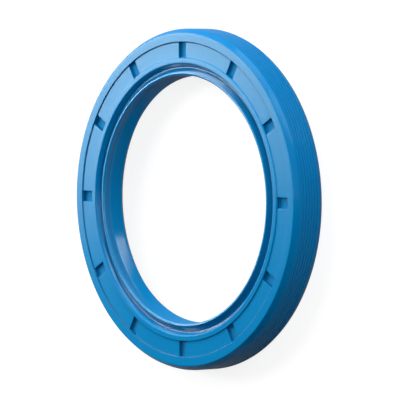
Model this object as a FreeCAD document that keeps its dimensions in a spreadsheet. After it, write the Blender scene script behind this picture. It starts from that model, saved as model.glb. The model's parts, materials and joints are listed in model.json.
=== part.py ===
# Radial shaft seal with a dust lip, rubber covered, 70 x 95 x 10 mm
#
# The seal lies on its oil side. Z is its axis, the back rim lies at Z = 0 and the air side,
# with its twelve pockets, looks up. Three pieces make the seal: the rubber body, the pressed
# steel ring that it is moulded round, and the garter spring behind the sealing lip.

import FreeCAD, Part
import Sketcher
import math
import os

# Driving sizes, in millimetres and degrees
# Depths count down from the front rim, drops and preloads count along a radius

SIZES = [
    ("shaft_diameter", 70.0, "shaft that the lips run on"),
    ("radial_room", 12.5, "from the shaft to the housing bore"),
    ("seal_width", 10.0, "from the back rim to the front rim"),
    ("press_allowance", 0.2, "rib crests beyond the housing bore"),
    ("lip_preload", 0.45, "free sealing edge inside the shaft's surface"),
    ("dust_preload", 0.35, "free dust lip inside the shaft's surface"),
    ("rib_pitch", 1.0, "from one sealing rib to the next"),
    ("rib_height", 0.15, "rib above the sleeve"),
    ("rib_land", 0.3, "flat on the crest of a rib"),
    ("rib_gap", 0.1, "plain sleeve between two ribs"),
    ("rib_bond", 0.3, "root of a rib inside the sleeve"),
    ("lead_in_length", 1.86, "front lead-in along the axis"),
    ("lead_in_drop", 1.25, "front lead-in, from the sleeve to the end of the flat rim"),
    ("lead_in_round", 1.0, "radius where the lead-in meets the sleeve"),
    ("rim_round", 0.4, "radius where the lead-in meets the rim"),
    ("back_chamfer_length", 1.1, "back chamfer along the axis"),
    ("back_chamfer_drop", 0.65, "back chamfer along the radius"),
    ("rim_width", 2.26, "flat front rim"),
    ("recess_depth", 0.3, "recess between rim and ridge"),
    ("step_run", 0.2, "slope at either side of the recess"),
    ("pocket_count", 12, "pockets in the recess"),
    ("pocket_width", 3.0, "pocket across"),
    ("pocket_depth", 0.85, "pocket below the recess"),
    ("pocket_overrun", 0.05, "pocket's ends into the slopes"),
    ("ridge_flat", 1.18, "flat of the ridge inside the recess"),
    ("ridge_round", 0.5, "radius on the ridge's inner corner"),
    ("ridge_slope", 60.0, "ridge's inner wall from the plane of the face"),
    ("gutter_round", 0.4, "radius at the bottom of the gutter"),
    ("gutter_depth", 1.39, "bottom of the gutter"),
    ("dust_slope", 41.0, "dust lip's outer flank from the plane of the face"),
    ("dust_round", 0.57, "radius of the dust lip's crest"),
    ("dust_crest_depth", 0.23, "top of the dust lip's crest"),
    ("dust_flank_angle", 16.7, "dust lip's inner flank from the axis"),
    ("dust_flank_depth", 2.16, "end of the dust lip's inner flank"),
    ("grease_round", 1.4, "radius of the grease groove between the lips"),
    ("air_flank_depth", 4.24, "start of the sealing lip's air side flank"),
    ("air_flank_angle", 23.7, "air side flank from the axis"),
    ("edge_depth", 6.86, "middle of the sealing edge"),
    ("edge_land", 0.2, "width of the sealing edge"),
    ("oil_flank_length", 1.37, "oil side flank along the axis"),
    ("oil_flank_angle", 42.5, "oil side flank from the axis"),
    ("lip_wall", 1.45, "rubber between sealing edge and spring groove"),
    ("membrane_wall", 1.55, "rubber between the air side flank and the cavity"),
    ("root_round", 1.2, "radius at the root of the membrane"),
    ("spring_coil", 1.8, "outer diameter of the spring's coil"),
    ("spring_wire", 0.36, "wire of the spring"),
    ("spring_clearance", 0.05, "room round the spring in its groove"),
    ("spring_offset", 0.5, "spring towards the air side from the sealing edge"),
    ("spring_mouth", 1.6, "mouth of the spring groove"),
    ("case_wall", 1.2, "sheet of the stiffening ring"),
    ("case_bend", 0.6, "inner radius of the ring's bend"),
    ("sleeve_cover", 1.35, "rubber outside the ring"),
    ("face_cover", 1.4, "rubber in front of the ring"),
    ("toe_cover", 1.0, "from the ridge's flat to the ring's flange"),
    ("end_cover", 0.9, "rubber behind the ring's leg"),
    ("cavity_cover", 0.5, "rubber on the ring in the cavity"),
    ("cavity_round", 0.8, "radius in the corner of the cavity"),
    ("mouth_chamfer", 0.4, "chamfer at the cavity's mouth"),
]

# Places worked out from the sizes: radii from the axis and heights above the back rim

PLACES = [
    ("shaft_radius", "Sizes.shaft_diameter / 2"),
    ("outer_radius", "shaft_radius + Sizes.radial_room + Sizes.press_allowance"),
    ("sleeve_radius", "outer_radius - Sizes.rib_height"),
    ("rib_top", "Sizes.seal_width - Sizes.lead_in_length"),
    ("rim_outer", "sleeve_radius - Sizes.lead_in_drop"),
    ("rim_inner", "rim_outer - Sizes.rim_width"),
    ("rim_level", "Sizes.seal_width - Sizes.rim_round"),
    ("lead_in_centre", "sleeve_radius - Sizes.lead_in_round"),
    ("lead_in_across", "lead_in_centre - rim_outer"),
    ("lead_in_up", "rim_level - rib_top"),
    ("round_gap", "sqrt(lead_in_across ^ 2 + lead_in_up ^ 2)"),
    ("lead_in_turn", "atan(lead_in_across / lead_in_up) + 90 deg"),
    ("lead_in_square", "lead_in_turn - acos((Sizes.lead_in_round - Sizes.rim_round) / round_gap)"),
    ("recess_outer", "rim_inner - Sizes.step_run"),
    ("recess_floor", "Sizes.seal_width - Sizes.recess_depth"),
    ("lip_radius", "shaft_radius - Sizes.lip_preload"),
    ("dust_tip", "shaft_radius - Sizes.dust_preload"),
    ("crest_radius", "dust_tip + Sizes.dust_round"),
    ("crest_level", "Sizes.seal_width - Sizes.dust_crest_depth - Sizes.dust_round"),
    ("crest_in_radius", "crest_radius - Sizes.dust_round * cos(Sizes.dust_flank_angle)"),
    ("crest_in_height", "crest_level - Sizes.dust_round * sin(Sizes.dust_flank_angle)"),
    ("dust_flank_end", "Sizes.seal_width - Sizes.dust_flank_depth"),
    ("dust_flank_run", "(crest_in_height - dust_flank_end) * tan(Sizes.dust_flank_angle)"),
    ("dust_flank_radius", "crest_in_radius + dust_flank_run"),
    ("crest_reach", "Sizes.dust_round + Sizes.gutter_round"),
    ("gutter_level", "Sizes.seal_width - Sizes.gutter_depth + Sizes.gutter_round"),
    ("dust_fall", "crest_level + crest_reach * cos(Sizes.dust_slope) - gutter_level"),
    ("dust_run", "dust_fall / tan(Sizes.dust_slope)"),
    ("gutter_radius", "crest_radius + crest_reach * sin(Sizes.dust_slope) + dust_run"),
    ("ridge_reach", "Sizes.gutter_round + Sizes.ridge_round"),
    ("ridge_level", "Sizes.seal_width - Sizes.ridge_round"),
    ("ridge_rise", "ridge_level - gutter_level + ridge_reach * cos(Sizes.ridge_slope)"),
    ("ridge_run", "ridge_rise / tan(Sizes.ridge_slope)"),
    ("ridge_inner", "gutter_radius + ridge_reach * sin(Sizes.ridge_slope) + ridge_run"),
    ("ridge_outer", "ridge_inner + Sizes.ridge_flat"),
    ("recess_inner", "ridge_outer + Sizes.step_run"),
    ("edge_height", "Sizes.seal_width - Sizes.edge_depth"),
    ("edge_top", "edge_height + Sizes.edge_land / 2"),
    ("edge_bottom", "edge_height - Sizes.edge_land / 2"),
    ("air_flank_top", "Sizes.seal_width - Sizes.air_flank_depth"),
    ("air_flank_radius", "lip_radius + (air_flank_top - edge_top) * tan(Sizes.air_flank_angle)"),
    ("heel_height", "edge_bottom - Sizes.oil_flank_length"),
    ("toe_radius", "lip_radius + Sizes.oil_flank_length * tan(Sizes.oil_flank_angle)"),
    ("coil_radius", "Sizes.spring_coil / 2"),
    ("bore_radius", "coil_radius - Sizes.spring_wire"),
    ("groove_radius", "coil_radius + Sizes.spring_clearance"),
    ("spring_radius", "lip_radius + Sizes.lip_wall + groove_radius"),
    ("spring_height", "edge_height + Sizes.spring_offset"),
    ("half_mouth", "Sizes.spring_mouth / 2"),
    ("mouth_radius", "spring_radius + sqrt(groove_radius ^ 2 - half_mouth ^ 2)"),
    ("membrane_radius", "air_flank_radius + Sizes.membrane_wall"),
    ("case_outer", "sleeve_radius - Sizes.sleeve_cover"),
    ("case_inner", "case_outer - Sizes.case_wall"),
    ("case_toe", "ridge_inner + Sizes.toe_cover"),
    ("case_front", "Sizes.seal_width - Sizes.face_cover"),
    ("case_back", "case_front - Sizes.case_wall"),
    ("outer_bend", "Sizes.case_bend + Sizes.case_wall"),
    ("cavity_radius", "case_inner - Sizes.cavity_cover"),
    ("cavity_floor", "case_back - Sizes.cavity_cover"),
    ("back_inner", "cavity_radius + Sizes.mouth_chamfer"),
    ("back_outer", "sleeve_radius - Sizes.back_chamfer_drop"),
    ("rib_base", "Sizes.rib_pitch - Sizes.rib_gap"),
    ("rib_shoulder", "(rib_base - Sizes.rib_land) / 2"),
    ("rib_root", "sleeve_radius - Sizes.rib_bond"),
    ("rib_count", "floor((rib_top - Sizes.back_chamfer_length) / Sizes.rib_pitch)"),
    ("half_pocket", "Sizes.pocket_width / 2"),
    ("pocket_inner", "recess_inner - Sizes.pocket_overrun"),
    ("pocket_outer", "recess_outer + Sizes.pocket_overrun"),
    ("pocket_cut", "Sizes.recess_depth + Sizes.pocket_depth"),
]

# The two ends of a sketch edge, as the sketcher numbers them

START = 1
END = 2


def fill_sheets(doc):
    """Put the driving sizes and the places that follow from them into two sheets."""
    sizes = doc.addObject("Spreadsheet::Sheet", "Sizes")
    for row, (name, number, meaning) in enumerate(SIZES, 1):
        sizes.set(f"A{row}", meaning)
        sizes.set(f"B{row}", str(number))
        sizes.setAlias(f"B{row}", name)
    doc.recompute()
    places = doc.addObject("Spreadsheet::Sheet", "Places")
    for row, (name, formula) in enumerate(PLACES, 1):
        places.set(f"A{row}", name.replace("_", " "))
        places.set(f"B{row}", f"={formula}")
        places.setAlias(f"B{row}", name)
    doc.recompute()


def new_body(doc, label):
    """Add an empty body whose label names its file."""
    body = doc.addObject("PartDesign::Body", label)
    body.Label = label
    return body


def origin_feature(body, role):
    """Find a plane or an axis of the body's own origin."""
    return next(feature for feature in body.Origin.OriginFeatures if feature.Role == role)


def new_sketch(body, name, role):
    """Add a sketch on one of the body's origin planes."""
    sketch = body.newObject("Sketcher::SketchObject", name)
    sketch.AttachmentSupport = [(origin_feature(body, role), "")]
    sketch.MapMode = "FlatFace"
    return sketch


def arc_between(first, last, radius, turn, longer):
    """Arc from one point to another. It turns left for a turn of 1 and right for -1."""
    chord = last - first
    half = chord.Length / 2
    left = FreeCAD.Vector(-chord.y, chord.x, 0).normalize()
    side = -turn if longer else turn
    centre = (first + last) / 2 + left * side * math.sqrt(radius ** 2 - half ** 2)
    low, high = (first, last) if turn > 0 else (last, first)
    low_angle = math.atan2(low.y - centre.y, low.x - centre.x)
    high_angle = math.atan2(high.y - centre.y, high.x - centre.x)
    if high_angle < low_angle:
        high_angle += 2 * math.pi
    circle = Part.Circle(centre, FreeCAD.Vector(0, 0, 1), radius)
    return Part.ArcOfCircle(circle, low_angle, high_angle)


def tie_corner(sketch, edge, end, name, across, up):
    """Hold the end of an edge at a place given by two formulas."""
    for kind, suffix, formula in (("DistanceX", "across", across), ("DistanceY", "up", up)):
        index = sketch.addConstraint(Sketcher.Constraint(kind, edge, end, sketch.evalExpression(formula)))
        sketch.renameConstraint(index, f"{name}_{suffix}")
        sketch.setExpression(f"Constraints.{name}_{suffix}", formula)


def on_round(centre_across, centre_up, radius, angle):
    """Two formulas for the point of a circle in the direction of an angle."""
    return f"{centre_across} + {radius} * cos({angle})", f"{centre_up} + {radius} * sin({angle})"


def draw_outline(sketch, corners, arcs):
    """Join the corners into one closed outline of lines and arcs.

    Each corner is a name and two formulas, across and up. An arc is listed under the corner
    that it leaves, with a radius formula, its turn and whether it goes the long way round.
    """
    names = [corner[0] for corner in corners]
    points = {
        name: FreeCAD.Vector(sketch.evalExpression(across), sketch.evalExpression(up), 0)
        for name, across, up in corners
    }
    ends = []
    for name, following in zip(names, names[1:] + names[:1]):
        if name in arcs:
            radius, turn, longer = arcs[name]
            size = sketch.evalExpression(radius)
            edge = sketch.addGeometry(arc_between(points[name], points[following], size, turn, longer))
            ends.append((edge, START, END) if turn > 0 else (edge, END, START))
        else:
            edge = sketch.addGeometry(Part.LineSegment(points[name], points[following]))
            ends.append((edge, START, END))
    for index, (name, across, up) in enumerate(corners):
        before, _, before_end = ends[index - 1]
        after, after_end, _ = ends[index]
        sketch.addConstraint(Sketcher.Constraint("Coincident", before, before_end, after, after_end))
        tie_corner(sketch, after, after_end, name, across, up)
    for index, name in enumerate(names):
        if name in arcs:
            radius = arcs[name][0]
            size = sketch.evalExpression(radius)
            number = sketch.addConstraint(Sketcher.Constraint("Radius", ends[index][0], size))
            sketch.renameConstraint(number, f"{name}_radius")
            sketch.setExpression(f"Constraints.{name}_radius", radius)


def turn_profile(body, kind, name, sketch):
    """Turn a sketch about the seal's axis, to add material or to take it away."""
    feature = body.newObject(kind, name)
    feature.Profile = sketch
    feature.ReferenceAxis = (sketch, ["V_Axis"])
    feature.Angle = 360
    sketch.Visibility = False
    return feature


def draw_seal_section(sketch):
    """Half section of the plain seal, from the front rim round the sleeve, cavity and lips.

    The slopes of the lead-in, the dust lip and the ridge each touch the rounds at their two ends,
    at the points that lie square to the slope from the centres of the rounds.
    """
    rim_round = ("Places.rim_outer", "Places.rim_level", "Sizes.rim_round")
    lead_in_round = ("Places.lead_in_centre", "Places.rib_top", "Sizes.lead_in_round")
    crest = ("Places.crest_radius", "Places.crest_level", "Sizes.dust_round")
    gutter = ("Places.gutter_radius", "Places.gutter_level", "Sizes.gutter_round")
    ridge = ("Places.ridge_inner", "Places.ridge_level", "Sizes.ridge_round")
    dust_square = "90 - Sizes.dust_slope"
    ridge_square = "90 + Sizes.ridge_slope"
    corners = [
        ("rim_in", "Places.rim_inner", "Sizes.seal_width"),
        ("rim_out", "Places.rim_outer", "Sizes.seal_width"),
        ("lead_in_top", *on_round(*rim_round, "Places.lead_in_square")),
        ("lead_in_end", *on_round(*lead_in_round, "Places.lead_in_square")),
        ("sleeve_front", "Places.sleeve_radius", "Places.rib_top"),
        ("sleeve_back", "Places.sleeve_radius", "Sizes.back_chamfer_length"),
        ("back_out", "Places.back_outer", "0"),
        ("back_in", "Places.back_inner", "0"),
        ("cavity_mouth", "Places.cavity_radius", "Sizes.mouth_chamfer"),
        ("cavity_side", "Places.cavity_radius", "Places.cavity_floor - Sizes.cavity_round"),
        ("cavity_corner", "Places.cavity_radius - Sizes.cavity_round", "Places.cavity_floor"),
        ("root_out", "Places.membrane_radius + Sizes.root_round", "Places.cavity_floor"),
        ("root_in", "Places.membrane_radius", "Places.cavity_floor - Sizes.root_round"),
        ("groove_top", "Places.mouth_radius", "Places.spring_height + Places.half_mouth"),
        ("groove_bottom", "Places.mouth_radius", "Places.spring_height - Places.half_mouth"),
        ("heel", "Places.spring_radius", "Places.heel_height"),
        ("toe", "Places.toe_radius", "Places.heel_height"),
        ("edge_oil_side", "Places.lip_radius", "Places.edge_bottom"),
        ("edge_air_side", "Places.lip_radius", "Places.edge_top"),
        ("grease_bottom", "Places.air_flank_radius", "Places.air_flank_top"),
        ("grease_top", "Places.dust_flank_radius", "Places.dust_flank_end"),
        ("crest_in", "Places.crest_in_radius", "Places.crest_in_height"),
        ("crest_out", *on_round(*crest, dust_square)),
        ("gutter_in", *on_round(*gutter, f"{dust_square} + 180")),
        ("gutter_out", *on_round(*gutter, f"{ridge_square} + 180")),
        ("ridge_side", *on_round(*ridge, ridge_square)),
        ("ridge_in", "Places.ridge_inner", "Sizes.seal_width"),
        ("ridge_out", "Places.ridge_outer", "Sizes.seal_width"),
        ("recess_in", "Places.recess_inner", "Places.recess_floor"),
        ("recess_out", "Places.recess_outer", "Places.recess_floor"),
    ]
    arcs = {
        "rim_out": ("Sizes.rim_round", -1, False),
        "lead_in_end": ("Sizes.lead_in_round", -1, False),
        "cavity_side": ("Sizes.cavity_round", 1, False),
        "root_out": ("Sizes.root_round", 1, False),
        "groove_top": ("Places.groove_radius", 1, True),
        "grease_bottom": ("Sizes.grease_round", 1, False),
        "crest_in": ("Sizes.dust_round", -1, False),
        "gutter_in": ("Sizes.gutter_round", 1, False),
        "ridge_side": ("Sizes.ridge_round", -1, False),
    }
    draw_outline(sketch, corners, arcs)


def draw_rib_section(sketch):
    """Section of one sealing rib: a flat crest with a sloped shoulder on either side."""
    corners = [
        ("root_top", "Places.rib_root", "Places.rib_top"),
        ("foot_top", "Places.sleeve_radius", "Places.rib_top"),
        ("crest_top", "Places.outer_radius", "Places.rib_top - Places.rib_shoulder"),
        ("crest_bottom", "Places.outer_radius", "Places.rib_top - Places.rib_shoulder - Sizes.rib_land"),
        ("foot_bottom", "Places.sleeve_radius", "Places.rib_top - Places.rib_base"),
        ("root_bottom", "Places.rib_root", "Places.rib_top - Places.rib_base"),
    ]
    draw_outline(sketch, corners, {})


def draw_case_section(sketch):
    """L-section of the stiffening ring: a leg along the sleeve and a flange behind the face."""
    corners = [
        ("toe_front", "Places.case_toe", "Places.case_front"),
        ("bend_front", "Places.case_outer - Places.outer_bend", "Places.case_front"),
        ("bend_outer", "Places.case_outer", "Places.case_front - Places.outer_bend"),
        ("leg_outer", "Places.case_outer", "Sizes.end_cover"),
        ("leg_inner", "Places.case_inner", "Sizes.end_cover"),
        ("bend_inner", "Places.case_inner", "Places.case_back - Sizes.case_bend"),
        ("bend_back", "Places.case_inner - Sizes.case_bend", "Places.case_back"),
        ("toe_back", "Places.case_toe", "Places.case_back"),
    ]
    arcs = {
        "bend_front": ("Places.outer_bend", -1, False),
        "bend_inner": ("Sizes.case_bend", 1, False),
    }
    draw_outline(sketch, corners, arcs)


def draw_pocket(sketch):
    """Outline of one pocket, across the recess at the top of the face."""
    sketch.setExpression(".AttachmentOffset.Base.z", "Sizes.seal_width")
    corners = [
        ("inner_left", "-Places.half_pocket", "Places.pocket_inner"),
        ("inner_right", "Places.half_pocket", "Places.pocket_inner"),
        ("outer_right", "Places.half_pocket", "Places.pocket_outer"),
        ("outer_left", "-Places.half_pocket", "Places.pocket_outer"),
    ]
    draw_outline(sketch, corners, {})


def draw_coil_section(sketch):
    """Section through the ring that the close-wound coil fills: outside and bore of the coil."""
    for name, radius in (("coil", "Places.coil_radius"), ("bore", "Places.bore_radius")):
        centre = FreeCAD.Vector(
            sketch.evalExpression("Places.spring_radius"), sketch.evalExpression("Places.spring_height"), 0
        )
        circle = Part.Circle(centre, FreeCAD.Vector(0, 0, 1), sketch.evalExpression(radius))
        edge = sketch.addGeometry(circle)
        tie_corner(sketch, edge, 3, name, "Places.spring_radius", "Places.spring_height")
        number = sketch.addConstraint(Sketcher.Constraint("Radius", edge, sketch.evalExpression(radius)))
        sketch.renameConstraint(number, f"{name}_radius")
        sketch.setExpression(f"Constraints.{name}_radius", radius)


def make_rubber_body(doc):
    """Turn the plain seal, add its ribs, hollow it for the steel ring and cut the pockets."""
    body = new_body(doc, "rubber_body")
    section = new_sketch(body, "SealSection", "XZ_Plane")
    draw_seal_section(section)
    turn_profile(body, "PartDesign::Revolution", "PlainSeal", section)
    rib_section = new_sketch(body, "RibSection", "XZ_Plane")
    draw_rib_section(rib_section)
    rib = turn_profile(body, "PartDesign::Revolution", "Rib", rib_section)
    ribs = body.newObject("PartDesign::LinearPattern", "Ribs")
    ribs.Originals = [rib]
    ribs.Direction = (origin_feature(body, "Z_Axis"), [""])
    ribs.Reversed = True
    ribs.Mode = "Spacing"
    ribs.setExpression("Offset", "Sizes.rib_pitch")
    ribs.setExpression("Occurrences", "Places.rib_count")
    body.Tip = ribs
    case_section = new_sketch(body, "CaseRoom", "XZ_Plane")
    draw_case_section(case_section)
    turn_profile(body, "PartDesign::Groove", "CaseGroove", case_section)
    outline = new_sketch(body, "PocketOutline", "XY_Plane")
    draw_pocket(outline)
    pocket = body.newObject("PartDesign::Pocket", "Pocket")
    pocket.Profile = outline
    pocket.Type = "Length"
    pocket.setExpression("Length", "Places.pocket_cut")
    outline.Visibility = False
    pockets = body.newObject("PartDesign::PolarPattern", "Pockets")
    pockets.Originals = [pocket]
    pockets.Axis = (origin_feature(body, "Z_Axis"), [""])
    pockets.Angle = 360
    pockets.setExpression("Occurrences", "Sizes.pocket_count")
    body.Tip = pockets
    return body


def make_stiffening_ring(doc):
    """Turn the steel ring from the same section that hollows the rubber."""
    body = new_body(doc, "stiffening_ring")
    section = new_sketch(body, "CaseSection", "XZ_Plane")
    draw_case_section(section)
    turn_profile(body, "PartDesign::Revolution", "Case", section)
    return body


def make_garter_spring(doc):
    """Turn the ring that the spring's coil fills, hollow as the coil is."""
    body = new_body(doc, "garter_spring")
    section = new_sketch(body, "CoilSection", "XZ_Plane")
    draw_coil_section(section)
    turn_profile(body, "PartDesign::Revolution", "Coil", section)
    return body


def check_document(doc, bodies):
    """Stop if a feature failed, a cut missed or a body isn't one valid solid."""
    for thing in doc.Objects:
        if "Invalid" in thing.State or "Error" in thing.State:
            raise RuntimeError(f"{thing.Name} failed: {thing.State}")
    for body in bodies:
        shape = body.Shape
        if shape.isNull() or not shape.isValid() or len(shape.Solids) != 1:
            raise RuntimeError(f"{body.Label} is not one valid solid")
    for before, after, grows in (
        ("PlainSeal", "Rib", True),
        ("Rib", "Ribs", True),
        ("Ribs", "CaseGroove", False),
        ("CaseGroove", "Pocket", False),
        ("Pocket", "Pockets", False),
    ):
        change = doc.getObject(after).Shape.Volume - doc.getObject(before).Shape.Volume
        if (change > 0) != grows:
            raise RuntimeError(f"{after} changed the volume by {change:.2f} cubic mm")


def main():
    doc = FreeCAD.newDocument("radial_shaft_seal")
    fill_sheets(doc)
    bodies = [make_rubber_body(doc), make_stiffening_ring(doc), make_garter_spring(doc)]
    doc.recompute()
    check_document(doc, bodies)
    os.makedirs("parts", exist_ok=True)
    for body in bodies:
        body.Shape.exportStep(f"parts/{body.Label}.step")
        print(f"{body.Label}: {body.Shape.Volume:.1f} cubic mm, {len(body.Shape.Faces)} faces")


main()
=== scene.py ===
# %% [markdown]
# # A radial shaft seal in blue rubber
#
# A radial shaft seal keeps the oil in a gearbox and the dust out of it. It is one rubber moulding
# with a pressed steel ring inside, and a garter spring that squeezes its lip onto the shaft.
#
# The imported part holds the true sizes, and this lesson dresses it. The rubber and the spring are
# worked out anew as fine meshes of the same form, and the steel ring keeps its own mesh.

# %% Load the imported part
import json

import bpy
import numpy as np
from mathutils import Matrix, Quaternion, Vector


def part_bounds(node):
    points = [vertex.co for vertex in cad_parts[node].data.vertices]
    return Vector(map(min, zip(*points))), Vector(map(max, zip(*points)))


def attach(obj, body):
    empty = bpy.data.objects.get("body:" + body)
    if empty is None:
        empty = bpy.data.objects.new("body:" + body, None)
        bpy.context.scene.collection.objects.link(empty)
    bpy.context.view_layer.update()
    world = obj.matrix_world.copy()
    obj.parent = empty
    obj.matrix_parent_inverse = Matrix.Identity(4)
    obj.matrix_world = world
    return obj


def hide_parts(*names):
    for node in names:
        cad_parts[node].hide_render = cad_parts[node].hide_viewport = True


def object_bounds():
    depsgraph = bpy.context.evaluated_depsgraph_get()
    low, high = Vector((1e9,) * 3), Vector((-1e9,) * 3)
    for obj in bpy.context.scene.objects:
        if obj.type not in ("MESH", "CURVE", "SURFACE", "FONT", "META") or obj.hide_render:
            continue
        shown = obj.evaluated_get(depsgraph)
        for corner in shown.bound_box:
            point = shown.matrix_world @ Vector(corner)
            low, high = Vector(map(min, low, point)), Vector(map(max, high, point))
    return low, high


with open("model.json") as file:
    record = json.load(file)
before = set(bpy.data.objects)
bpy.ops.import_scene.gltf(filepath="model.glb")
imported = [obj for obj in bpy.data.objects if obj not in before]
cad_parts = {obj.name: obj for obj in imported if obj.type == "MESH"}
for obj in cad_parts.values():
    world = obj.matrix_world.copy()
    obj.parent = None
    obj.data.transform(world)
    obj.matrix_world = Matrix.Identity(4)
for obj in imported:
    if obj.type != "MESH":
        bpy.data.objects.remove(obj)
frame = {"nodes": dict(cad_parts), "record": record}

part_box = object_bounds()
record = frame["record"]
mounts = {mount["name"]: mount for mount in record["mounts"]}
print("nodes:", sorted(frame["nodes"]))
print("part box in metres:", [tuple(round(x, 4) for x in corner) for corner in part_box])

# %% [markdown]
# ## The seal's half section
#
# Everything on the rubber apart from its pockets is turned about one axis, as its mould was. So
# the shape is one closed outline in the half plane of radius and height, in millimetres. Heights
# count from the back rim, on which the seal lies.
#
# A plane point is held as one complex number here, radius + height * i. Adding is a move,
# multiplying by e^(i a) is a turn, and whole arrays of points need no loop. The overall sizes come
# from the part's box and from its stated mounts, and the others are the seal's own sizes.

# %% Driving sizes of the section
MM = 0.001
OUTER = part_box[1].x / MM
WIDTH = part_box[1].z / MM
LIP = mounts["shaft_lip"]["dims"]["r_mm"]
LIP_LAND = mounts["shaft_lip"]["dims"]["length_mm"]
LIP_HEIGHT = mounts["shaft_lip"]["pos_m"][2] / MM

RIB_HEIGHT = 0.15
RIB_PITCH = 1.0
RIB_LAND = 0.3
RIB_BASE = 0.9
RIB_COUNT = 7
LEAD_IN_RUN = 1.25
LEAD_IN_LENGTH = 1.86
LEAD_IN_ROUND = 1.0
SLEEVE = OUTER - RIB_HEIGHT
RIB_TOP = WIDTH - LEAD_IN_LENGTH

RIM_WIDTH = 2.26
RIM_ROUND = 0.4
STEP_RUN = 0.2
RECESS_DEPTH = 0.3
RIM_OUTER = SLEEVE - LEAD_IN_RUN
RIM_INNER = RIM_OUTER - RIM_WIDTH
RECESS_FLOOR = WIDTH - RECESS_DEPTH
RECESS_OUTER = RIM_INNER - STEP_RUN
print(f"sleeve {SLEEVE:.2f}, rim {RIM_INNER:.2f} to {RIM_OUTER:.2f}, recess to {RECESS_OUTER:.2f}")

# %% Sizes of the cavity, the spring groove and the two lips
BACK_CHAMFER = 1.1
BACK_CHAMFER_RUN = 0.65
BACK_OUTER = SLEEVE - BACK_CHAMFER_RUN
CAVITY_RADIUS = 44.5
CAVITY_FLOOR = 6.9
CAVITY_ROUND = 0.8
MOUTH_CHAMFER = 0.4
FLANK_TOP = 5.76
FLANK_SLOPE = np.radians(23.7)
FLANK_RADIUS = LIP + (FLANK_TOP - LIP_HEIGHT - LIP_LAND / 2) * np.tan(FLANK_SLOPE)
MEMBRANE_WALL = 1.55
MEMBRANE = FLANK_RADIUS + MEMBRANE_WALL
ROOT_ROUND = 1.2
SPRING_RADIUS = 36.95
SPRING_RISE = 0.5
SPRING_HEIGHT = LIP_HEIGHT + SPRING_RISE
SPRING_ROOM = 0.95
SPRING_MOUTH = 1.6
HEEL_HEIGHT = 1.67
HEEL_SLOPE = np.radians(42.5)
TOE_RADIUS = LIP + (LIP_HEIGHT - LIP_LAND / 2 - HEEL_HEIGHT) * np.tan(HEEL_SLOPE)
GREASE_ROUND = 1.4
GREASE_TOP = 7.84
print(f"sealing edge at radius {LIP:.2f}, toe at {TOE_RADIUS:.2f}, membrane at {MEMBRANE:.2f}")

# %% [markdown]
# The dust lip has a round crest with a straight flank on either side. Its outer flank runs into the
# round floor of the gutter, and the gutter's wall into the round corner of the ridge. So each
# straight stretch is a common tangent of two circles.
#
# Seen as a complex number, the direction square to a slope of angle a is i e^(-i a) where the
# outline falls, and i e^(i a) where it climbs. A circle's point on its tangent is its centre plus
# the radius times that direction. The height of the next centre is known, so the walk down or up
# the slope is its rise over the sine of the angle.

# %% Centres of crest, gutter and ridge
CREST_ROUND = 0.57
CREST_TIP = 34.65
CREST_DEPTH = 0.23
INNER_SLOPE = np.radians(16.7)
OUTER_SLOPE = np.radians(41.0)
GUTTER_ROUND = 0.4
GUTTER_DEPTH = 1.39
WALL_SLOPE = np.radians(60.0)
RIDGE_ROUND = 0.5
RIDGE_FLAT = 1.18

crest = CREST_TIP + CREST_ROUND + 1j * (WIDTH - CREST_DEPTH - CREST_ROUND)
falling = 1j * np.exp(-1j * OUTER_SLOPE)
climbing = 1j * np.exp(1j * WALL_SLOPE)
gutter_level = WIDTH - GUTTER_DEPTH + GUTTER_ROUND
down = crest + (CREST_ROUND + GUTTER_ROUND) * falling
gutter = down + (down.imag - gutter_level) / np.sin(OUTER_SLOPE) * np.exp(-1j * OUTER_SLOPE)
up = gutter - (GUTTER_ROUND + RIDGE_ROUND) * climbing
ridge = up + (WIDTH - RIDGE_ROUND - up.imag) / np.sin(WALL_SLOPE) * np.exp(1j * WALL_SLOPE)
RIDGE_OUTER = ridge.real + RIDGE_FLAT
RECESS_INNER = RIDGE_OUTER + STEP_RUN
print(f"crest {crest:.3f}, gutter {gutter:.3f}, ridge {ridge:.3f} and out to {RIDGE_OUTER:.2f}")

# %% Straight and round strokes of the pen
FINE = 0.01


def stroke(start, end, radius=None, turn=1):
    """Points from start up to just before end, about FINE apart.

    A straight stroke is start + t (end - start). A round one turns about a centre that lies off
    the middle of the chord by the root of the radius squared less half the chord squared, so it
    is centre + (start - centre) e^(i t sweep). A turn of 1 goes left and -1 right. A negative
    radius puts the centre on the other side, for a sweep of more than half a circle.
    """
    chord = end - start
    if radius is None:
        count = max(2, round(abs(chord) / FINE))
        return start + chord * np.arange(count) / count
    rise = np.sqrt(max(radius ** 2 - abs(chord / 2) ** 2, 0)) * np.sign(radius)
    centre = start + chord / 2 + 1j * turn * rise * chord / abs(chord)
    sweep = turn * (np.angle((end - centre) / (start - centre)) * turn % (2 * np.pi))
    count = max(2, round(abs(radius * sweep) / FINE))
    return centre + (start - centre) * np.exp(1j * sweep * np.arange(count) / count)


def through(*corners):
    """Straight strokes through a row of corners, up to just before the last."""
    return np.concatenate([stroke(a, b) for a, b in zip(corners, corners[1:])])


print("a quarter circle of 1 mm has", len(stroke(1 + 0j, 1j, radius=1)), "points")

# %% [markdown]
# The outline starts at the front rim and runs round the sleeve with its sealing ribs, over the
# back rim, through the cavity and the spring groove to the sealing edge, and up past the grease
# groove and the dust lip to the ridge and the recess of the face.
#
# The front lead-in is a straight slope between a small round at the rim and a larger one at the
# sleeve. A line that touches two circles on the same side stands square to a direction whose angle
# from the line of centres is the arc cosine of the difference of their radii over their distance.

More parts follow.
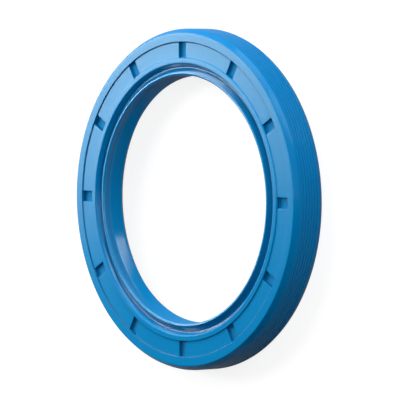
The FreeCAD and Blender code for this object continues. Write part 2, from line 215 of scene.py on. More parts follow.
# %% The rim and the lead-in
rim_end = RIM_OUTER + 1j * WIDTH
rim_centre = rim_end - 1j * RIM_ROUND
sleeve_centre = SLEEVE - LEAD_IN_ROUND + 1j * RIB_TOP
reach = rim_centre - sleeve_centre
square = np.exp(1j * (np.angle(reach) - np.arccos((LEAD_IN_ROUND - RIM_ROUND) / abs(reach))))
rim_touch = rim_centre + RIM_ROUND * square
sleeve_touch = sleeve_centre + LEAD_IN_ROUND * square
lead_in = np.concatenate([
    stroke(RIM_INNER + 1j * WIDTH, rim_end),
    stroke(rim_end, rim_touch, radius=RIM_ROUND, turn=-1),
    stroke(rim_touch, sleeve_touch),
    stroke(sleeve_touch, SLEEVE + 1j * RIB_TOP, radius=LEAD_IN_ROUND, turn=-1),
])
print(f"lead-in from {rim_touch:.3f} to {sleeve_touch:.3f}")

# %% The sleeve's ribs and the back rim
rib_tops = RIB_TOP - RIB_PITCH * np.arange(RIB_COUNT)
shoulder = (RIB_BASE - RIB_LAND) / 2
rib_corners = np.stack([
    SLEEVE + 1j * rib_tops,
    OUTER + 1j * (rib_tops - shoulder),
    OUTER + 1j * (rib_tops - shoulder - RIB_LAND),
    SLEEVE + 1j * (rib_tops - RIB_BASE),
], axis=1).ravel()
cavity_mouth = CAVITY_RADIUS + 1j * MOUTH_CHAMFER
sleeve = through(
    *rib_corners, SLEEVE + 1j * BACK_CHAMFER, BACK_OUTER,
    CAVITY_RADIUS + MOUTH_CHAMFER, cavity_mouth,
)
print(f"{RIB_COUNT} ribs, the last one down to {rib_corners[-1].imag:.2f} mm")

# %% The cavity behind the face, and the spring groove
cavity_side = CAVITY_RADIUS + 1j * (CAVITY_FLOOR - CAVITY_ROUND)
cavity_corner = CAVITY_RADIUS - CAVITY_ROUND + 1j * CAVITY_FLOOR
root_out = MEMBRANE + ROOT_ROUND + 1j * CAVITY_FLOOR
root_in = MEMBRANE + 1j * (CAVITY_FLOOR - ROOT_ROUND)
mouth_radius = SPRING_RADIUS + np.sqrt(SPRING_ROOM ** 2 - (SPRING_MOUTH / 2) ** 2)
groove_top = mouth_radius + 1j * (SPRING_HEIGHT + SPRING_MOUTH / 2)
groove_bottom = mouth_radius + 1j * (SPRING_HEIGHT - SPRING_MOUTH / 2)
cavity = np.concatenate([
    stroke(cavity_mouth, cavity_side),
    stroke(cavity_side, cavity_corner, radius=CAVITY_ROUND),
    stroke(cavity_corner, root_out),
    stroke(root_out, root_in, radius=ROOT_ROUND),
    stroke(root_in, groove_top),
    stroke(groove_top, groove_bottom, radius=-SPRING_ROOM),
])
print(f"the spring snaps in at radius {mouth_radius:.2f}")

# %% The sealing lip, the grease groove, the dust lip and the gutter
flank_top = FLANK_RADIUS + 1j * FLANK_TOP
crest_in = crest - CREST_ROUND * np.exp(1j * INNER_SLOPE)
crest_out = crest + CREST_ROUND * falling
gutter_in = gutter - GUTTER_ROUND * falling
gutter_out = gutter - GUTTER_ROUND * climbing
ridge_in = ridge + RIDGE_ROUND * climbing
ridge_top = ridge.real + 1j * WIDTH
grease_top = crest_in.real + (crest_in.imag - GREASE_TOP) * np.tan(INNER_SLOPE) + 1j * GREASE_TOP
lips = np.concatenate([
    through(
        groove_bottom, SPRING_RADIUS + 1j * HEEL_HEIGHT, TOE_RADIUS + 1j * HEEL_HEIGHT,
        LIP + 1j * (LIP_HEIGHT - LIP_LAND / 2), LIP + 1j * (LIP_HEIGHT + LIP_LAND / 2), flank_top,
    ),
    stroke(flank_top, grease_top, radius=GREASE_ROUND),
    stroke(grease_top, crest_in),
    stroke(crest_in, crest_out, radius=CREST_ROUND, turn=-1),
    stroke(crest_out, gutter_in),
    stroke(gutter_in, gutter_out, radius=GUTTER_ROUND),
    stroke(gutter_out, ridge_in),
    stroke(ridge_in, ridge_top, radius=RIDGE_ROUND, turn=-1),
])
print(f"the grease groove ends at {grease_top:.3f}")

# %% The ridge and the recess of the face close the outline
face = through(
    ridge_top, RIDGE_OUTER + 1j * WIDTH, RECESS_INNER + 1j * RECESS_FLOOR,
    RECESS_OUTER + 1j * RECESS_FLOOR, RIM_INNER + 1j * WIDTH,
)
outline = np.concatenate([lead_in, sleeve, cavity, lips, face])
widest = abs(np.diff(outline, append=outline[0])).max()
print(f"{len(outline)} pen points, widest step {widest:.3f} mm")

# %% [markdown]
# ## Soft corners, and points where the outline bends
#
# No corner of a moulding is knife sharp, and the thin light lines on this rubber are its small
# edge radii. A running mean along the outline gives each corner a radius of about the window
# divided by the corner's turn, and leaves straight stretches where they are.
#
# The mesh then needs points where the outline bends. A chord of length h strays from a curve by
# h squared times the curvature over 8, so for one fixed error the steps per millimetre go with
# the root of the curvature. Adding a little for length keeps long flats from having none.

# %% Round the corners and thin the points
EDGE_WINDOW = 0.12
CHORD_ERROR = 0.0022
LONGEST_STEP = 3.0


def soften(points, window):
    """Running mean of a closed outline: each point becomes the mean of those in the window."""
    half = round(window / FINE / 2)
    return sum(np.roll(points, shift) for shift in range(-half, half + 1)) / (2 * half + 1)


def steps_along(points):
    """Length walked before each point, and how many mesh steps are due by then.

    Steps per millimetre are the root of (curvature / 8 error), plus one per longest step.
    """
    forward = np.roll(points, -1) - points
    length = abs(forward)
    curvature = abs(np.angle(forward / np.roll(forward, 1))) / length
    due = length * (np.sqrt(curvature / (8 * CHORD_ERROR)) + 1 / LONGEST_STEP)
    return np.concatenate([[0], np.cumsum(length)]), np.concatenate([[0], np.cumsum(due)])


def whole_steps(walked, due):
    """Lengths at which a whole number of steps falls due, stretched so that the last one closes."""
    count = int(due[-1])
    return np.interp(np.arange(count) * due[-1] / count, due, walked)


outline = soften(outline, EDGE_WINDOW)
walked, due = steps_along(outline)
row_walk = whole_steps(walked, due)
print(f"outline of {walked[-1]:.1f} mm, {len(row_walk)} mesh rows")

# %% [markdown]
# ## Pockets in a turned grid
#
# Twelve pockets cross the recess of the face. The rubber is one grid: rows are points of the
# outline, and columns are angles round the axis, with twelve equal sectors. A pocket has straight
# parallel sides, so the columns along its sides keep their distance from its middle line, and
# their angle is the arc sine of that distance over the radius.
#
# A point then drops to the pocket's floor by how far it lies outside the pocket's edge: the wall
# profile below goes from 0, on the floor, to 1, on the face, with a small round at the top and
# bottom. Taking the larger distance of rows and columns mitres the four corners.

# %% Rows at the pockets' ends
POCKETS = 12
POCKET_WIDTH = 3.0
POCKET_DEPTH = 0.85
POCKET_OVERRUN = 0.05
POCKET_FLOOR = RECESS_FLOOR - POCKET_DEPTH
POCKET_INNER = RECESS_INNER - POCKET_OVERRUN
POCKET_OUTER = RECESS_OUTER + POCKET_OVERRUN
WALL_AWAY = np.array([-0.09, -0.04, -0.012, 0.012, 0.035, 0.08])
WALL_PROFILE = np.array([0.0, 0.015, 0.09, 0.93, 0.985, 1.0])
ROW_ROOM = 0.05
UNDER_FACE = RECESS_FLOOR - 0.1

between_rims = (outline.real > RIDGE_OUTER) & (outline.real < RIM_INNER)
is_face = (outline.imag > UNDER_FACE) & between_rims
face_order = np.argsort(outline.real[is_face])
face_radius = outline.real[is_face][face_order]
face_walk = walked[:-1][is_face][face_order]
wall_radius = np.concatenate([POCKET_INNER - WALL_AWAY, POCKET_OUTER + WALL_AWAY])
wall_walk = np.interp(wall_radius, face_radius, face_walk)
clear = abs(row_walk[:, None] - wall_walk[None, :]).min(axis=1) > ROW_ROOM
row_walk = np.sort(np.concatenate([row_walk[clear], wall_walk]))
rows = np.interp(row_walk, walked, np.append(outline, outline[0]))
radius, height = rows.real, rows.imag
print(f"{len(rows)} rows, {len(wall_walk)} of them on the pockets' ends")

# %% Lay out the columns of one sector and drop the pockets
PLAIN_COLUMNS = 11

sector = 2 * np.pi / POCKETS
side = np.arcsin((POCKET_WIDTH / 2 + WALL_AWAY) / radius[:, None])
share = np.linspace(0, 1, PLAIN_COLUMNS + 1)[1:]
plain = side[:, -1:] + (sector / 2 - side[:, -1:]) * share
right = np.hstack([side, plain])
across = np.hstack([-right[:, -2::-1], np.zeros((len(rows), 1)), right])
from_end = np.maximum(radius - POCKET_OUTER, POCKET_INNER - radius)
from_side = abs(radius[:, None] * np.sin(across)) - POCKET_WIDTH / 2
away = np.maximum(from_end[:, None], from_side)
lifted = np.interp(away, WALL_AWAY, WALL_PROFILE)
lifted[height < UNDER_FACE] = 1
dropped = POCKET_FLOOR + (height[:, None] - POCKET_FLOOR) * lifted
print(f"{across.shape[1]} columns a sector, pockets down to {dropped[lifted < 0.5].min():.2f} mm")

# %% [markdown]
# ## From grids to a mesh
#
# Both ways round, the grid closes on itself, so every vertex has four quads and nothing is open.
# Each vertex normal is the sum of the area vectors of its four quads. A wide flat beside a thin
# edge round then keeps its own direction, and the light runs over the round alone, as on the
# real edge.

# %% Turn a sector's grid round the axis


def ring_grid(across_angles, radii, heights, sectors):
    """Copies one sector round the axis: x = r sin a, y = r cos a, with a clockwise from +Y."""
    starts = 2 * np.pi * np.arange(sectors) / sectors
    angle = (across_angles[:, None, :] + starts[None, :, None]).reshape(len(across_angles), -1)
    spread = np.broadcast_to(radii[:, None], angle.shape)
    lift = np.tile(heights, (1, sectors))
    return np.stack([spread * np.sin(angle), spread * np.cos(angle), lift], axis=-1) * MM


rubber_grid = ring_grid(across, radius, dropped, POCKETS)
print("points of the rubber's outside:", rubber_grid.shape[:2])

# %% Normals, faces and a mesh piece from grids


def grid_normals(grid):
    """Unit sum of the area vectors round each point, each half the cross product of diagonals."""
    ahead = np.roll(grid, -1, axis=0)
    beside = np.roll(grid, -1, axis=1)
    opposite = np.roll(ahead, -1, axis=1)
    area = np.cross(beside - ahead, opposite - grid)
    total = area + np.roll(area, 1, axis=0)
    total = total + np.roll(total, 1, axis=1)
    return total / np.linalg.norm(total, axis=-1, keepdims=True)


def grid_faces(rows_count, columns_count, first):
    """Four corner numbers for every quad of a grid that closes both ways."""
    number = first + np.arange(rows_count * columns_count).reshape(rows_count, columns_count)
    beside = np.roll(number, -1, axis=1)
    ahead = np.roll(number, -1, axis=0)
    opposite = np.roll(ahead, -1, axis=1)
    return np.stack([number, beside, opposite, ahead], axis=-1).reshape(-1, 4)


def piece_from_grids(name, grids):
    """One mesh object from closed grids, smooth, with the area normals."""
    starts = np.cumsum([0] + [grid.shape[0] * grid.shape[1] for grid in grids])
    points = np.concatenate([grid.reshape(-1, 3) for grid in grids])
    normals = np.concatenate([grid_normals(grid).reshape(-1, 3) for grid in grids])
    faces = np.concatenate([
        grid_faces(*grid.shape[:2], first) for grid, first in zip(grids, starts)
    ])
    mesh = bpy.data.meshes.new(name)
    mesh.from_pydata(points, [], faces)
    mesh.shade_smooth()
    mesh.normals_split_custom_set_from_vertices(normals)
    piece = bpy.data.objects.new(name, mesh)
    bpy.context.scene.collection.objects.link(piece)
    print(f"{name}: {2 * len(faces)} triangles")
    return piece


# %% [markdown]
# The rubber was moulded round its steel ring, so there is a room inside it with the ring's own
# form. It is a second closed grid, wound the other way so that its faces look into the room. The
# ring is an L in section: a disc behind the face, a round bend, and a wall behind the sleeve.

# %% The outline of the room for the steel ring
CASE_WALL = 1.2
CASE_BEND = 0.6
CASE_TOE_RUN = 1.0
ring_low, ring_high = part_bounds("stiffening_ring")
CASE_OUTER = ring_high.x / MM
CASE_FRONT = ring_high.z / MM
CASE_END = ring_low.z / MM
CASE_TOE = ridge.real + CASE_TOE_RUN

outer_bend = CASE_BEND + CASE_WALL
case_back = CASE_FRONT - CASE_WALL
case_inner = CASE_OUTER - CASE_WALL
toe_front = CASE_TOE + 1j * CASE_FRONT
bend_front = CASE_OUTER - outer_bend + 1j * CASE_FRONT
bend_side = CASE_OUTER + 1j * (CASE_FRONT - outer_bend)
bend_inside = case_inner + 1j * (case_back - CASE_BEND)
bend_back = case_inner - CASE_BEND + 1j * case_back
room = np.concatenate([
    stroke(toe_front, bend_front),
    stroke(bend_front, bend_side, radius=outer_bend, turn=-1),
    through(bend_side, CASE_OUTER + 1j * CASE_END, case_inner + 1j * CASE_END, bend_inside),
    stroke(bend_inside, bend_back, radius=CASE_BEND),
    through(bend_back, CASE_TOE + 1j * case_back, toe_front),
])
room_walked, room_due = steps_along(room)
room = np.interp(whole_steps(room_walked, room_due), room_walked, np.append(room, room[0]))[::-1]
print(f"room from radius {CASE_TOE:.2f} to {CASE_OUTER:.2f}, {len(room)} points")

# %% Make the rubber body
CASE_COLUMNS = 90
room_grid = ring_grid(np.zeros((len(room), 1)), room.real, room.imag[:, None], CASE_COLUMNS)
rubber = piece_from_grids("seal_rubber", [rubber_grid, room_grid])
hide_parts("rubber_body")
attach(rubber, "root")

# %% [markdown]
# ## The garter spring
#
# The spring is a close-wound coil of fine wire whose ends are screwed into each other. Its turns
# touch at the inside of the ring, so their number is the inner circumference over the wire. A
# tube of six sides is plenty for a wire of a third of a millimetre.
#
# The wire's middle line goes round the ring once while its angle in the coil goes round many
# times. Each section of the wire stands square to that line.

# %% The middle line of the wire
WIRE = 0.36
COIL_RADIUS = 0.9
COIL_MIDDLE = COIL_RADIUS - WIRE / 2
TURN_POINTS = 22
turns = int(2 * np.pi * (SPRING_RADIUS - COIL_MIDDLE) / WIRE)
count = turns * TURN_POINTS
along = 2 * np.pi * np.arange(count) / count


def coil_line(ring_angle, coil_angle, middle):
    """Point at ring radius R + m cos t and height h + m sin t, at angle a round the axis."""
    spread = SPRING_RADIUS + middle * np.cos(coil_angle)
    lift = SPRING_HEIGHT + middle * np.sin(coil_angle)
    return np.stack([spread * np.sin(ring_angle), spread * np.cos(ring_angle), lift], axis=-1)


line = coil_line(along, turns * along, COIL_MIDDLE)
print(f"{turns} turns of {WIRE} mm wire")

# %% Wind the spring
WIRE_SIDES = 6
forward = np.roll(line, -1, axis=0) - np.roll(line, 1, axis=0)
forward /= np.linalg.norm(forward, axis=1, keepdims=True)
outward = line - coil_line(along, turns * along, 0.0)
outward -= forward * (outward * forward).sum(axis=1, keepdims=True)
outward /= np.linalg.norm(outward, axis=1, keepdims=True)
sideways = np.cross(forward, outward)
round_angle = (2 * np.pi * np.arange(WIRE_SIDES) / WIRE_SIDES)[None, :, None]
wire = (
    line[:, None]
    + WIRE / 2 * np.cos(round_angle) * outward[:, None]
    + WIRE / 2 * np.sin(round_angle) * sideways[:, None]
)
spring = piece_from_grids("spring_coil", [wire * MM])
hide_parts("garter_spring")
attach(spring, "root")

# %% [markdown]
# ## Shader maths as plain expressions
#
# A material is a graph of nodes, and written out node by node even a short sum is long. So one
# small class wraps an output socket. Its operators add Math nodes, and its node method adds any
# other node: first the settings, then the values or links of the sockets.

# %% A socket that can be calculated with


class Signal:
    """An output socket of one node tree. Sums and products with it add Math nodes."""

    def __init__(self, tree, socket=None):
        self.tree = tree
        self.socket = socket

    def node(self, kind, settings=None, inputs=None, output=0):
        """Add a node of that type, set it up, feed its sockets and give one of its outputs."""
        made = self.tree.nodes.new("ShaderNode" + kind)
        for name, value in (settings or {}).items():
            setattr(made, name, value)
        for key, value in (inputs or {}).items():
            if isinstance(value, Signal):
                self.tree.links.new(value.socket, made.inputs[key])
            else:
                made.inputs[key].default_value = value
        return Signal(self.tree, made.outputs[output] if made.outputs else None)

    def output(self, name):
        """Another output of the same node."""
        return Signal(self.tree, self.socket.node.outputs[name])

    def math(self, operation, *values):
        """A Math node of that operation on signals and numbers."""
        return self.node("Math", {"operation": operation}, dict(enumerate(values)))

    def __add__(self, other):
        return self.math("ADD", self, other)

    def __sub__(self, other):
        return self.math("SUBTRACT", self, other)

    def __mul__(self, other):
        return self.math("MULTIPLY", self, other)

    def __truediv__(self, other):
        return self.math("DIVIDE", self, other)

    def __pow__(self, other):
        return self.math("POWER", self, other)

    def __rsub__(self, other):
        return self.math("SUBTRACT", other, self)

    __radd__ = __add__
    __rmul__ = __mul__


# %% Materials, soft steps and blended colours


def blank_material(name):
    """A new material with an empty tree, and a signal to build from."""
    material = bpy.data.materials.new(name)
    material.use_nodes = True
    material.node_tree.nodes.clear()
    return material, Signal(material.node_tree)


def step(signal, low, high):
    """Runs smoothly from 0 at low to 1 at high."""
    return signal.node(
        "MapRange", {"interpolation_type": "SMOOTHSTEP"},
        {"Value": signal, "From Min": low, "From Max": high},
    )


def between(signal, rise, fall):
    """Runs smoothly from 0 to 1 over the pair rise, and back to 0 over the pair fall."""
    return step(signal, *rise) * (1 - step(signal, *fall))


def blend(share, first, second, clamp=True):
    """The first colour at a share of 0, the second at 1. A Mix node has them in sockets 6 and 7."""
    return share.node(
        "Mix", {"data_type": "RGBA", "clamp_factor": clamp},
        {0: share, 6: first, 7: second}, output=2,
    )


# %% [markdown]
# ## Blue moulded rubber
#
# The rubber is a deep, clean blue. Its mould was turned on a lathe and polished, so the faintest
# marks run round the axis, and between them the skin has a fine grain. The marks are noise that
# changes fast along the radius and the height, and slowly round the axis: its first two
# coordinates are the direction from the axis, which has no seam.
#
# The mould's finish differs from place to place, and so does the skin. The lips, the sleeve and
# the lead-in slide on steel and are polished, and the lips have a thin clear gloss as well. The
# flats of the face are satin, and the pockets are as dull as the pins that left them. The face,
# the pockets and the lips are painted paler than the sleeve: painted light on them, and painted
# shade on the sleeve. Some narrow places are darker in the photograph than soft lamps leave them:
# between the ribs, on the pockets' walls, in the gutter and on the step under the rim. They are
# painted a deeper blue, as painted shade.
#
# Each zone is a mask of radius and height, so it fits the form from all sides. The shine of the
# real rubber is a little green over the blue, so the gloss has a faint tint.

# %% Coordinates on the rubber, in millimetres round the axis
rubber_material, start = blank_material("blue_moulded_rubber")
place = start.node("TexCoord", output="Object")
x = start.node("SeparateXYZ", inputs={0: place})
y = x.output("Y")
level = x.output("Z") / MM
from_axis = (x * x + y * y) ** 0.5
spread = from_axis / MM
print("coordinates made from", len(rubber_material.node_tree.nodes), "nodes")

# %% Zones of the face and its pockets, each edge soft from one radius or height to another
beyond_ridge = step(spread, ridge.real - 0.3, ridge.real + 0.1)
within_rim = 1 - step(spread, RIM_OUTER, RIM_OUTER + 0.3)
on_face = step(level, RECESS_FLOOR - 0.2, UNDER_FACE) * beyond_ridge * within_rim
in_pocket = step(level, POCKET_FLOOR - 0.2, POCKET_FLOOR - 0.1) * (1 - on_face) * beyond_ridge
in_pocket = in_pocket * (1 - step(spread, POCKET_OUTER + 0.1, POCKET_OUTER + 0.2))
# The pockets' walls and the step under the rim are masks for painted shade.
on_pocket_wall = in_pocket * step(level, POCKET_FLOOR + 0.05, POCKET_FLOOR + 0.12)
under_rim = step(level, UNDER_FACE, RECESS_FLOOR) * between(
    spread, rise=(RECESS_OUTER - 0.2, RECESS_OUTER - 0.05), fall=(RIM_INNER, RIM_INNER + 0.06),
)
print(f"face from radius {ridge.real:.2f} to {RIM_OUTER:.2f}, pocket floors at {POCKET_FLOOR:.2f}")

# %% Zones of the lips, the gutter and the grooves between the ribs
on_lips = 1 - step(spread, ridge.real - 0.8, ridge.real - 0.4)
# The gutter and the grooves between the ribs are masks for painted shade.
in_gutter = step(level, gutter.imag - 1.2, gutter.imag - 0.9) * between(
    spread, rise=(crest.real + 0.1, crest.real + 0.5), fall=(ridge.real - 1.0, ridge.real - 0.6),
)
beside_ribs = between(
    level, rise=(BACK_CHAMFER - 0.1, BACK_CHAMFER + 0.1), fall=(RIB_TOP, RIB_TOP + 0.2),
)
in_groove = beside_ribs * between(
    spread, rise=(SLEEVE - 0.15, SLEEVE - 0.05), fall=(SLEEVE + 0.02, SLEEVE + 0.1),
)
print("zones made from", len(rubber_material.node_tree.nodes), "nodes")

# %% Marks, grain and clouds
AROUND = 2.0
OUTWARD = 1.5
GRAIN = 5200.0
CLOUDS = 90.0
round_place = start.node("CombineXYZ", inputs={
    0: x / from_axis * AROUND, 1: y / from_axis * AROUND, 2: spread * OUTWARD,
})
marks = start.node("TexNoise", {"noise_dimensions": "4D"}, {
    "Vector": round_place, "W": level * OUTWARD, "Detail": 2.0, "Scale": 1.0,
})
grain = start.node("TexNoise", inputs={
    "Vector": place, "Scale": GRAIN, "Detail": 3.0, "Roughness": 0.6,
})
clouds = start.node("TexNoise", inputs={"Vector": place, "Scale": CLOUDS, "Detail": 2.0})
bump = start.node("Bump", inputs={
    "Strength": 0.25, "Distance": 0.00003, "Height": marks * 0.4 + grain * 0.6,
})
print(f"marks {1 / OUTWARD:.1f} mm, grain {1 / GRAIN / MM:.2f} mm, clouds {1 / CLOUDS / MM:.0f} mm")

# %% Three blues, the darkest for painted shade
BLUE = (0.0, 0.26, 0.58, 1.0)
DEEP_BLUE = (0.0, 0.212, 0.55, 1.0)
SHADED_BLUE = (0.0, 0.07, 0.19, 1.0)
FACE_PALE, POCKET_PALE, LIP_PALE, SLEEVE_PALE = 0.7, 0.6, 0.5, 0.1
CLOUD_PALE, GRAIN_PALE = 0.3, 0.5
GROOVE_SHADE, WALL_SHADE, GUTTER_SHADE, STEP_SHADE = 0.3, 0.75, 0.45, 0.7
# Painted light and shade: the face, the pockets and the lips paler, the sleeve deeper; clouds and
# grain vary the tone at random.
paler = (
    on_face * FACE_PALE + in_pocket * POCKET_PALE + on_lips * LIP_PALE + SLEEVE_PALE
    + (clouds - 0.5) * CLOUD_PALE + (grain - 0.5) * GRAIN_PALE
)
# Painted shade: the grooves, the pockets' walls, the gutter and the step under the rim go towards
# the shaded blue.
shaded = (
    in_groove * GROOVE_SHADE + on_pocket_wall * WALL_SHADE
    + in_gutter * GUTTER_SHADE + under_rim * STEP_SHADE
)
colour = blend(shaded, blend(paler, DEEP_BLUE, BLUE, clamp=False), SHADED_BLUE)
print("from pale to deep:", BLUE[:3], DEEP_BLUE[:3], SHADED_BLUE[:3])

# %% Satin face, dull pockets and polished lips
POLISHED = 0.14
FACE_SATIN, POCKET_DULL = 0.03, 0.5
SHEEN_TINT = (0.85, 1.0, 0.88, 1.0)
roughness = POLISHED + on_face * FACE_SATIN + in_pocket * POCKET_DULL
surface = start.node("BsdfPrincipled", inputs={
    "Base Color": colour, "Roughness": roughness + marks * 0.03 + clouds * 0.02, "Normal": bump,
    "IOR": 1.5, "Specular IOR Level": 0.15, "Specular Tint": SHEEN_TINT,
    "Coat Weight": on_lips * 0.6, "Coat Roughness": POLISHED, "Coat IOR": 1.5,
})
start.node("OutputMaterial", inputs={"Surface": surface})
rubber.data.materials.append(rubber_material)
print(rubber_material.name, "has", len(rubber_material.node_tree.nodes), "nodes")

# %% [markdown]
# ## Spring wire and pressed sheet
#
# Both are stainless steel. Drawn wire is bright, with fine scratches along it. The pressed sheet
# is duller and a little mottled, because it is blasted and coated so that the rubber bonds to it.

# %% Drawn wire
DARK_WIRE = (0.50, 0.50, 0.51, 1.0)
BRIGHT_WIRE = (0.66, 0.66, 0.67, 1.0)
wire_material, start = blank_material("drawn_spring_wire")
place = start.node("TexCoord", output="Object")
scratches = start.node("TexNoise", inputs={"Vector": place, "Scale": 9000.0, "Detail": 3.0})
surface = start.node("BsdfPrincipled", inputs={
    "Base Color": blend(scratches, DARK_WIRE, BRIGHT_WIRE),
    "Metallic": 1.0, "Roughness": 0.22 + scratches * 0.14,
})
start.node("OutputMaterial", inputs={"Surface": surface})
spring.data.materials.append(wire_material)
print(wire_material.name, "has", len(wire_material.node_tree.nodes), "nodes")

# %% Blasted sheet
DARK_SHEET = (0.42, 0.42, 0.42, 1.0)
BRIGHT_SHEET = (0.60, 0.60, 0.61, 1.0)
sheet_material, start = blank_material("blasted_sheet_steel")
place = start.node("TexCoord", output="Object")
pits = start.node("TexVoronoi", inputs={"Vector": place, "Scale": 3800.0})
patches = start.node("TexNoise", inputs={"Vector": place, "Scale": 260.0, "Detail": 3.0})
bump = start.node("Bump", inputs={"Strength": 0.4, "Distance": 0.00002, "Height": pits})
surface = start.node("BsdfPrincipled", inputs={
    "Base Color": blend(patches, DARK_SHEET, BRIGHT_SHEET),
    "Metallic": 1.0, "Roughness": 0.42 + patches * 0.16, "Normal": bump,
})
start.node("OutputMaterial", inputs={"Surface": surface})
steel_ring = frame["nodes"]["stiffening_ring"]
steel_ring.data.materials.clear()
steel_ring.data.materials.append(sheet_material)
print(sheet_material.name, "has", len(sheet_material.node_tree.nodes), "nodes")

# %% [markdown]
# ## Floor and background
#
# The seal lies on a white sheet that fades into the background, as on a product table. What the
# camera sees of the floor and the world is close to white in itself, so the lamps can stay at a
# plain level. The floor still takes part of its light from the lamps, which keeps the shadow.
#
# A gloss that mirrored all this white would turn the blue rubber grey. So the floor mirrors at a
# fifth of its own glow, and of the world only a white band just over the horizon is mirrored.

# %% Lay the floor
FLOOR_HALF = 3.0
corners = FLOOR_HALF * np.array([[-1, -1, 0], [1, -1, 0], [1, 1, 0], [-1, 1, 0]])
floor_mesh = bpy.data.meshes.new("floor")
floor_mesh.from_pydata(corners, [], [[0, 1, 2, 3]])
floor = bpy.data.objects.new("floor", floor_mesh)
bpy.context.scene.collection.objects.link(floor)
print(f"floor of {2 * FLOOR_HALF:.0f} m")

# %% A floor that the camera sees as white
WHITE = (1.0, 1.0, 1.0, 1.0)
FLOOR_GREY = (0.3, 0.3, 0.3, 1.0)
FLOOR_GLOW = 0.85
FLOOR_IN_GLOSS = 0.2


def seen_directly(start, in_gloss):
    """1 for camera rays and through glass, in_gloss for what gloss shows, 0 for diffuse light."""
    rays = start.node("LightPath", output="Is Camera Ray")
    seen = rays.math("MAXIMUM", rays, rays.output("Is Transmission Ray"))
    return seen.math("MAXIMUM", seen, rays.output("Is Glossy Ray") * in_gloss)


floor_material, start = blank_material("white_table")
paper = start.node("BsdfDiffuse", inputs={"Color": FLOOR_GREY})
glow = start.node("Emission", inputs={
    "Color": WHITE, "Strength": seen_directly(start, FLOOR_IN_GLOSS) * FLOOR_GLOW,
})
surface = start.node("AddShader", inputs={0: paper, 1: glow})
start.node("OutputMaterial", inputs={"Surface": surface})
floor_mesh.materials.append(floor_material)
print(floor_material.name, "has", len(floor_material.node_tree.nodes), "nodes")

# %% The world round the table
AMBIENT = 0.02
HORIZON_TOP = 0.12
world = bpy.data.worlds.new("studio")
world.use_nodes = True
world.node_tree.nodes.clear()
bpy.context.scene.world = world
start = Signal(world.node_tree)
direction = start.node("TexCoord", output="Generated")
upward = start.node("SeparateXYZ", inputs={0: direction}).output("Z")
horizon = 1 - step(upward, 0.0, HORIZON_TOP)
surface = start.node("Background", inputs={
    "Color": WHITE, "Strength": seen_directly(start, horizon) + AMBIENT,
})
start.node("OutputWorld", inputs={"Surface": surface})
print(f"mirrored white up to {np.degrees(np.arcsin(HORIZON_TOP)):.0f} degrees")

# %% [markdown]
# ## Soft light
#
# Most of the light comes from a wall of soft panels on the side that was up in the photograph, with
# one on the left and one higher up. A low one from the upper right lights the ribs, and one on the
# right fills the sleeve and the pockets. Nothing stands on the lower side, so the lower right of
# the sleeve and the far side of the lips fall into deep blue.
#
# The sheen on the face mirrors three narrow strips behind the seal. They are near, so the face sees
# them under another angle at each place, and they differ in strength, so the sheen fades from the
# upper left of the face to its lower right.

# %% An oblong soft lamp
LAMP_DISTANCE = 0.5


def softbox(name, azimuth, elevation, width, height, watts, roll=0.0, shift=0.0):
    """An oblong lamp at an azimuth from +X towards +Y and a height above the floor, in degrees.

    Its place is the unit vector (cos e cos a, cos e sin a, sin e) times its distance, and it looks
    back along that vector. A roll, in degrees, turns it about its line of sight, and a shift then
    moves it along its own width, to its left as it looks at the seal.
    """
    around, up = np.radians(azimuth), np.radians(elevation)
    outward = Vector((np.cos(up) * np.cos(around), np.cos(up) * np.sin(around), np.sin(up)))
    lamp = bpy.data.lights.new(name, "AREA")
    lamp.shape = "RECTANGLE"
    lamp.size = width
    lamp.size_y = height
    lamp.energy = watts
    holder = bpy.data.objects.new(name, lamp)
    bpy.context.scene.collection.objects.link(holder)
    turn = outward.to_track_quat("Z", "Y") @ Quaternion((0.0, 0.0, 1.0), np.radians(roll))
    holder.location = outward * LAMP_DISTANCE - turn @ Vector((shift, 0.0, 0.0))
    holder.rotation_euler = turn.to_euler()
    print(f"{name}: {watts} W at azimuth {azimuth}, {elevation} degrees up")


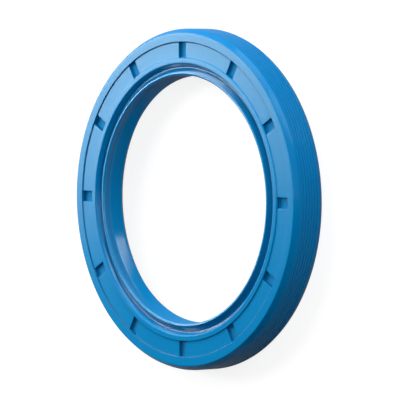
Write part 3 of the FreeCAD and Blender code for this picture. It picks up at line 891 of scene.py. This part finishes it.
# %% Hang the softboxes
softbox("wall_softbox_left", 130, 20, 0.40, 0.30, 1.7)
softbox("wall_softbox_right", 86, 17, 0.26, 0.26, 0.85)
softbox("side_softbox", 174, 22, 0.26, 0.12, 0.4)
softbox("high_softbox", 140, 55, 0.4, 0.14, 0.7)
softbox("rib_softbox", 50, 12, 0.30, 0.15, 0.85)
softbox("right_softbox", 16, 35, 0.26, 0.14, 0.75)

# %% Hang the three strips of the sheen
MIRRORED = (182.5, 41)
softbox("sheen_softbox", *MIRRORED, 0.06, 0.15, 0.30, roll=16, shift=0.05)
softbox("sheen_edge_softbox", *MIRRORED, 0.035, 0.15, 0.42, roll=14, shift=0.0975)
softbox("sheen_tail_softbox", *MIRRORED, 0.03, 0.15, 0.05, roll=14, shift=0.005)

# %% [markdown]
# ## Camera
#
# The photograph was taken from far off with a long lens: the camera stands about 1.1 m from the
# seal, 41 degrees above its face. The seal lies flat here, so the camera looks down on it, and the
# direction that was up in the photograph is the seal's +Y.
#
# A camera looks along its own -Z. So its axes are worked out from the direction back to it: the
# sideways one is square to that and to +Y, and a small roll turns both about the line of sight.

# %% Set up the camera
CAMERA_PLACE = Vector((0.866525, 0.037362, 0.750455))
BACK_AZIMUTH = np.radians(2.4863)
BACK_ELEVATION = np.radians(40.7437)
ROLL = np.radians(-0.0945)
SENSOR_MM = 36.0
LENS_MM = 368.14
back = Vector((
    np.cos(BACK_ELEVATION) * np.cos(BACK_AZIMUTH),
    np.cos(BACK_ELEVATION) * np.sin(BACK_AZIMUTH),
    np.sin(BACK_ELEVATION),
))
camera_data = bpy.data.cameras.new("camera")
camera_data.sensor_width = SENSOR_MM
camera_data.lens = LENS_MM
camera = bpy.data.objects.new("camera", camera_data)
bpy.context.scene.collection.objects.link(camera)
sideways = Vector((0.0, 1.0, 0.0)).cross(back).normalized()
upright = back.cross(sideways)
turned = Matrix.Rotation(ROLL, 3, back) @ Matrix((sideways, upright, back)).transposed()
camera.matrix_world = Matrix.Translation(CAMERA_PLACE) @ turned.to_4x4()
bpy.context.scene.camera = camera
bpy.context.scene.view_settings.view_transform = "Standard"
print("camera axes:", [[round(v, 5) for v in row] for row in turned.transposed()])
